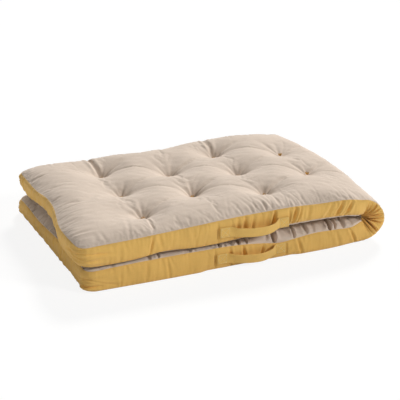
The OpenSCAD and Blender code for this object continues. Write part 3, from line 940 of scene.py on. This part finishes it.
def tube(path, radius, sides=6):
    """Rings of a tube round a path of points: the path plus the radius times two directions square to it."""
    forward = np.gradient(path, axis=0)
    forward /= np.maximum(np.linalg.norm(forward, axis=1, keepdims=True), 1e-9)
    spare = np.where(np.abs(forward[:, 2:3]) > 0.9, [[1.0, 0, 0]], [[0, 0, 1.0]])
    side = np.cross(forward, spare)
    side /= np.linalg.norm(side, axis=1, keepdims=True)
    up = np.cross(side, forward)
    turn = np.linspace(0, math.tau, sides, endpoint=False)
    r = np.broadcast_to(radius, len(path))
    ring = np.cos(turn)[None, :, None] * side[:, None] + np.sin(turn)[None, :, None] * up[:, None]
    return path[:, None] + ring * r[:, None, None]


def closed_tubes(name, rings, kind):
    """One mesh of many tubes of the same grid, each closed along its sides and at its two ends."""
    stack = np.array(rings)
    count, rows, sides = stack.shape[:3]
    i = np.arange(rows * sides).reshape(rows, sides)
    j = np.roll(i, -1, 1)
    quads = np.stack([i[:-1], i[1:], j[1:], j[:-1]], -1).reshape(-1, 4)
    starts = rows * sides * np.arange(count)[:, None, None]
    faces = [face for cells in (quads, i[:1], i[-1:, ::-1])
             for face in (cells + starts).reshape(-1, cells.shape[1]).tolist()]
    mesh = bpy.data.meshes.new(name)
    mesh.from_pydata(stack.reshape(-1, 3).tolist(), [], faces)
    v = np.tile(np.repeat(np.arange(rows) * 0.8 * MM, sides), count)
    u = np.tile(np.arange(sides) * 0.5 * MM, rows * count)
    loops = np.empty(len(mesh.loops), np.int32)
    mesh.loops.foreach_get("vertex_index", loops)
    return finished(name, mesh, np.stack([u, v], -1)[loops], kind)


YARN_ENDS = 9


def knot(centre, out, seed, tall):
    """Strands of a tuft: short ends of yarn that stand up from the cloth and spread like a small brush."""
    rng = np.random.default_rng(seed)
    side = np.cross(out, [0, 1, 0])
    side /= np.linalg.norm(side)
    other = np.cross(out, side)
    strands = []
    for n in range(YARN_ENDS):
        turn = math.tau * n / YARN_ENDS + rng.uniform(-0.25, 0.25)
        reach = rng.uniform(4.0, 5.6) * MM
        u = np.linspace(0, 1, 7)
        away = reach * np.sin(u * math.pi * 0.62)
        height = 0.8 * MM + rng.uniform(0.75, 1.05) * tall * u
        swing = turn + 0.5 * u
        path = (centre + np.outer(away * np.cos(swing), side)
                + np.outer(away * np.sin(swing), other) + np.outer(height, out))
        strands.append(tube(path, np.interp(u, [0, 0.8, 1], [0.75, 0.75, 0.4]) * MM, 6))
    return strands


def strap_points(side, sizes):
    """A strap as a closed loop of section points along X: flat ends on the band and a slack loop between.

    The loop stands off as 1 - |x / grip|^2.3, a little more towards the fold, and hangs at its middle.
    """
    x = np.concatenate([
        np.linspace(-STRAP_LENGTH / 2, -STRAP_GRIP, 9)[:-1],
        np.linspace(-STRAP_GRIP, STRAP_GRIP, 61),
        np.linspace(STRAP_GRIP, STRAP_LENGTH / 2, 9)[1:]])[:, None]
    q = np.clip(np.abs(x) / STRAP_GRIP, 0, 1)
    tilt = np.clip((1 - q) / 0.22, 0, 1)
    out = 2.2 * MM + sizes.strap_bow * (1 - q**2.3) * (1 + 0.30 * np.clip(x / STRAP_GRIP, -1, 1))
    droop = math.radians(17) * tilt
    # The section: two long faces with rounded selvedges, as a superellipse
    turn = np.linspace(0, math.tau, 28, endpoint=False)
    across = sizes.strap_width / 2 * np.sign(np.cos(turn)) * np.abs(np.cos(turn)) ** 0.5
    thick = 1.3 * MM * np.sign(np.sin(turn)) * np.abs(np.sin(turn)) ** 0.35
    ripple = 0.5 * MM * crumple(x, across, 0.05, 0.05, 70 + side)
    reach = out + thick + ripple * tilt
    y = -reach * np.cos(droop) - across * np.sin(droop)
    z = -reach * np.sin(droop) + across * np.cos(droop)
    return np.stack(np.broadcast_arrays(x, y, z), -1)


def box_stitches(centre):
    """A square with its diagonals on each sewn end of a strap, in short stitches that rise as half a sine."""
    stitches = []
    inset, high, step = 3 * MM, 12 * MM, 3.4 * MM
    near, far = STRAP_GRIP + inset, STRAP_LENGTH / 2 - inset
    corners = [(near, -high), (far, -high), (far, high), (near, high), (near, -high), (far, high)]
    lines = [*zip(corners[:-1], corners[1:]), ((near, high), (far, -high))]
    out = -3.5 * MM - 0.35 * MM * np.sin(np.linspace(0, math.pi, 5))
    for sign in (-1, 1):
        for (xa, za), (xb, zb) in lines:
            count = max(2, round(math.hypot(xb - xa, zb - za) / step))
            for n in range(count):
                u = (n + np.linspace(0.14, 0.86, 5)) / count
                path = centre + np.stack([sign * (xa + (xb - xa) * u), out, za + (zb - za) * u], -1)
                stitches.append(tube(path, 0.5 * MM, 5))
    return stitches


# ---- Operators ----


class FUTON_OT_stage(bpy.types.Operator):
    """Builds the floor, the soft studio light and the camera"""

    bl_idname = "futon.stage"
    bl_label = "Floor, light and camera"

    def execute(self, context):
        scene = context.scene
        scene.view_settings.view_transform = "Standard"
        floor_mesh = bpy.data.meshes.new("floor")
        floor_mesh.from_pydata([(-40, -40, 0), (40, -40, 0), (40, 40, 0), (-40, 40, 0)], [], [(0, 1, 2, 3)])
        hang("floor", floor_mesh)
        # Matte studio paper, near white. It is overexposed to the eye, yet it still shows the object's shadow.
        paper = bpy.data.materials.new("studio_paper")
        floor_mesh.materials.append(paper)
        tree = blank(paper)
        ray = add(tree, "LightPath")
        seen = add(tree, "BsdfDiffuse", {"Color": (1, 1, 1, 1)})
        glow = add(tree, "Emission", {"Color": (1, 1, 1, 1), "Strength": 1.03})
        bright = add(tree, "MixShader", {0: 0.85}, {1: seen, 2: glow})
        dim = add(tree, "BsdfDiffuse", {"Color": (*linear("FAFAFA"), 1)})
        both = add(tree, "MixShader", {}, {0: ray.outputs["Is Camera Ray"], 1: dim, 2: bright})
        add(tree, "OutputMaterial", {}, {"Surface": both})

        # The world is dim to the cloth, and white to the eye and in gloss.
        scene.world = bpy.data.worlds.new("studio")
        tree = blank(scene.world)
        ray = add(tree, "LightPath").outputs
        white_to = ray["Is Camera Ray"]
        for kind in ("Is Glossy Ray", "Is Transmission Ray"):
            white_to = add(tree, "Math", {"operation": "MAXIMUM"}, {0: white_to, 1: ray[kind]})
        light = add(tree, "Background", {"Color": (1, 0.99, 0.975, 1), "Strength": 0.14})
        white = add(tree, "Background", {"Color": (1, 1, 1, 1), "Strength": 1.0})
        mixed = add(tree, "MixShader", {}, {0: white_to, 1: light, 2: white})
        add(tree, "OutputWorld", {}, {"Surface": mixed})

        # A window high at the back right, a lower one at the front right, and a pale wall on the left
        for name, energy, angle, turn in (
            ("back_window", 2.65, 12, (-40.7, 40.1, 0)), ("front_window", 1.5, 14, (35.9, 53.1, 0)),
            ("left_wall", 0.85, 50, (17.9, -89.4, 0)),
        ):
            sun = bpy.data.lights.new(name, "SUN")
            sun.energy, sun.angle, sun.color = energy, math.radians(angle), (1, 0.985, 0.965)
            hang(name, sun).rotation_euler = np.radians(turn)

        camera = bpy.data.cameras.new("camera")
        camera.lens = 106.5
        camera.clip_start, camera.clip_end = 0.05, 100
        scene.camera = hang("camera", camera)
        scene.camera.location = (-1.2695, -2.935, 1.387)
        scene.camera.rotation_euler = np.radians((90 - 22.3, 0, -23.4))
        return {"FINISHED"}


class FUTON_OT_outer_cover(bpy.types.Operator):
    """Builds the outer cloth: the bottom panel, the bend and the tufted top panel"""

    bl_idname = "futon.outer_cover"
    bl_label = "Outer cover"

    def execute(self, context):
        pieces = cut_and_hang("outer_cover", outer_cover(context.scene.futon_sizes), 2 * BEND_STEPS,
                              "undyed_plain_cotton", flip=True)
        stand_in(("outer_panel", "outer_batting", "core_batting", "ties"),
                 ("outer_panel", "batting"))
        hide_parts("fold_ties")
        return {"FINISHED"}


class FUTON_OT_inner_cover(bpy.types.Operator):
    """Builds the inner cloth, where the two halves lie on each other"""

    bl_idname = "futon.inner_cover"
    bl_label = "Inner cover"

    def execute(self, context):
        pieces = cut_and_hang("inner_cover", inner_cover(context.scene.futon_sizes), 12, "undyed_plain_cotton",
                              flip=False)
        stand_in(("inner_panel", "inner_batting"), ("inner_panel",))
        return {"FINISHED"}


class FUTON_OT_boxing(bpy.types.Operator):
    """Builds the mustard bands along both sides and across the open end"""

    bl_idname = "futon.boxing"
    bl_label = "Boxing bands"

    def execute(self, context):
        sizes = context.scene.futon_sizes
        for side, word in ((-1, "front"), (1, "back")):
            kind = f"{word}_boxing"
            pieces = cut_and_hang(kind, side_band(side, sizes), 24, "mustard_plain_cotton",
                                  flip=side < 0)
            stand_in((f"{word}_band",), (f"{word}_band",))
        for half, word in ((-1, "lower"), (1, "upper")):
            points = end_band(half, sizes)
            piece = lay(f"{word}_end_boxing", points, metres(points), facing(points), "mustard_plain_cotton",
                        flip=half < 0)
            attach(piece, f"{word}_half")
            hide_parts(f"{word}_end_band")
        return {"FINISHED"}


class FUTON_OT_tufts(bpy.types.Operator):
    """Builds the thread tufts on the outer and inner faces"""

    bl_idname = "futon.tufts"
    bl_label = "Tufts"

    def execute(self, context):
        sizes = context.scene.futon_sizes
        bodies = {"lower": "lower_half", "upper": "upper_half", "fold": "fold_3"}
        groups = {key: [] for key in ("lower_outer", "upper_outer", "lower_inner", "upper_inner", "fold_outer",
                                      "fold_inner")}
        for n, (s, y) in enumerate(TUFTS):
            t, across = np.array([[s]]), np.array([[y]])
            turn = min(max((s - HALF_L) / FOLD_R, 0), math.pi)
            out = np.array([math.sin(turn), 0, -math.cos(turn)])
            at_outer = place(t, across, outer_radius(t, across, sizes), "outer")[0, 0]
            at_inner = place(t, across, inner_radius(t, across, sizes), "inner")[0, 0]
            part = "fold" if 0 < turn < math.pi else "lower" if turn == 0 else "upper"
            groups[f"{part}_outer"] += knot(at_outer + out * 1.2 * MM, out, 100 + n, 9 * MM)
            groups[f"{part}_inner"] += knot(at_inner + out * 0.6 * MM, -out, 200 + n, 5 * MM)
        for key, strands in groups.items():
            piece = closed_tubes(f"{key}_tufts_of_yarn", strands, "tuft_yarn")
            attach(piece, bodies[key.split("_")[0]])
            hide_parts(f"{key}_tufts")
        return {"FINISHED"}


class FUTON_OT_straps(bpy.types.Operator):
    """Builds the two webbing handles with their box stitches"""

    bl_idname = "futon.straps"
    bl_label = "Handles"

    def execute(self, context):
        for half, word, lift, shift in ((-1, "lower", LIFTS[0], 0), (1, "upper", LIFTS[1], UPPER_STRAP_SHIFT)):
            centre = np.array([STRAP_X + shift, BAND_Y, lift[2]])
            points = strap_points(half, context.scene.futon_sizes) + centre
            loop = np.concatenate([points, points[:, :1]], 1)
            normals, uv = facing(loop), metres(loop)
            middle = len(points) // 2
            for way, sign, rows in (("left", -1, slice(0, middle + 1)), ("right", 1, slice(middle, None))):
                piece = lay(f"{word}_strap_{way}", loop[rows], uv[rows], normals[rows], "mustard_cotton_webbing",
                            flip=True)
                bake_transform(piece)
                if way == "left":
                    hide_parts(f"{word}_handle_ends", f"{word}_handle_loop")
            piece = closed_tubes(f"{word}_strap_stitching", box_stitches(centre), "stitching_thread")
            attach(piece, f"{word}_half")
        return {"FINISHED"}


class FUTON_PT_sidebar(bpy.types.Panel):
    """Lists the mattress's settings and pieces"""

    bl_idname = "FUTON_PT_sidebar"
    bl_label = "Futon mattress"
    bl_space_type = "VIEW_3D"
    bl_region_type = "UI"
    bl_category = "Futon"

    def draw(self, context):
        for group in (context.scene.futon_sizes, context.scene.futon_colours):
            for key in group.__annotations__:
                self.layout.prop(group, key)
        for operator in PIECE_OPERATORS:
            self.layout.operator(operator.bl_idname)


PIECE_OPERATORS = (FUTON_OT_stage, FUTON_OT_outer_cover, FUTON_OT_inner_cover, FUTON_OT_boxing, FUTON_OT_tufts,
                   FUTON_OT_straps)
CLASSES = (FutonSizes, FutonColours, *PIECE_OPERATORS, FUTON_PT_sidebar)


def register():
    for cls in CLASSES:
        bpy.utils.register_class(cls)
    bpy.types.Scene.futon_sizes = bpy.props.PointerProperty(type=FutonSizes)
    bpy.types.Scene.futon_colours = bpy.props.PointerProperty(type=FutonColours)


def unregister():
    del bpy.types.Scene.futon_colours
    del bpy.types.Scene.futon_sizes
    for cls in reversed(CLASSES):
        bpy.utils.unregister_class(cls)


def main():
    register()
    bpy.ops.futon.stage()
    bpy.ops.futon.outer_cover()
    bpy.ops.futon.inner_cover()
    bpy.ops.futon.boxing()
    bpy.ops.futon.tufts()
    bpy.ops.futon.straps()


if __name__ == "__main__":
    main()
